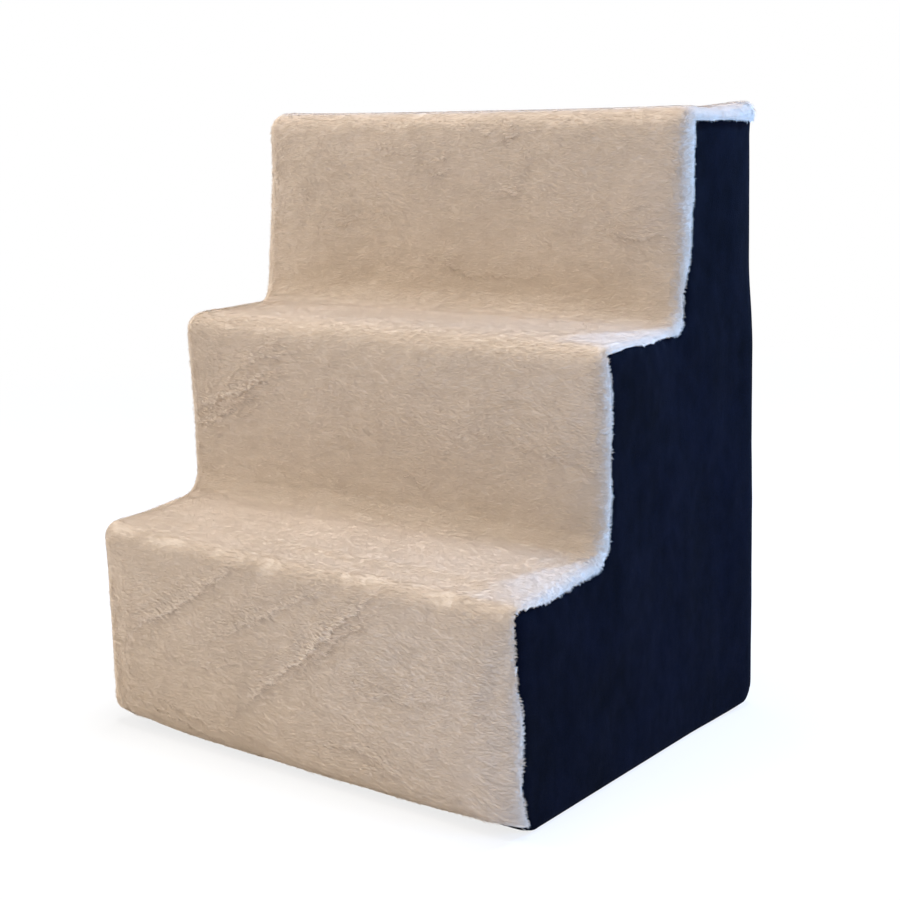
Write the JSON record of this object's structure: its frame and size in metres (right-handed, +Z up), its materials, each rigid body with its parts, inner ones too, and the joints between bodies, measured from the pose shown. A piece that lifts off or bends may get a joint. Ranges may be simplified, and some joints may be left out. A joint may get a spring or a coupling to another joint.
{
  "type": "pet stairs",
  "caption": "Foam pet stairs in a sewn cover: cream plush runner over crowned treads and risers, navy velour sides and base, and a zipped back.",
  "frame": {"origin": "centre of the base on the floor, under the middle of the stairs' box", "axes": "+X along the width, to the right as one climbs; +Y back, the way one climbs, so the front riser faces -Y; +Z up"},
  "size_m": [0.388, 0.3097, 0.45],
  "materials": {
    "plush": "matte",
    "velour": "matte",
    "foam": "matte",
    "soft_foam": "matte",
    "rubber_dots": "matte",
    "zip_tape": "matte",
    "zip_teeth": "satin",
    "zip_metal": "satin"
  },
  "bodies": {
    "stairs": {"step_runner": "plush", "side_panel_left": "velour", "side_panel_right": "velour", "base_panel": "velour", "back_flap": "velour", "back_border_left": "velour", "back_border_right": "velour", "back_border_bottom": "velour", "foam_block_lower": "foam", "foam_block_middle": "foam", "foam_block_upper": "foam", "tread_pad_lower": "soft_foam", "tread_pad_middle": "soft_foam", "tread_pad_upper": "soft_foam", "grip_dots": "rubber_dots", "zip_tape_inner": "zip_tape", "zip_tape_outer": "zip_tape", "zip_end_tab_left": "zip_tape", "zip_end_tab_right": "zip_tape", "zip_coil_inner": "zip_teeth", "zip_coil_outer": "zip_teeth", "zip_top_stops": "zip_metal", "zip_bottom_stop": "zip_metal"},
    "zip_slider": {"zip_slider": "zip_metal"},
    "zip_pull": {"zip_pull_tab": "zip_metal"}
  },
  "joints": [
    {"name": "zip_slide", "type": "slide", "parent": "stairs", "child": "zip_slider", "axis": [0, 0, -1], "range_m": [0, 0.313]},
    {"name": "pull_swing", "type": "hinge", "parent": "zip_slider", "child": "zip_pull", "pos_m": [0.1505, 0.1524, 0.399], "axis": [1, 0, 0], "range_deg": [0, 170]}
  ]
}
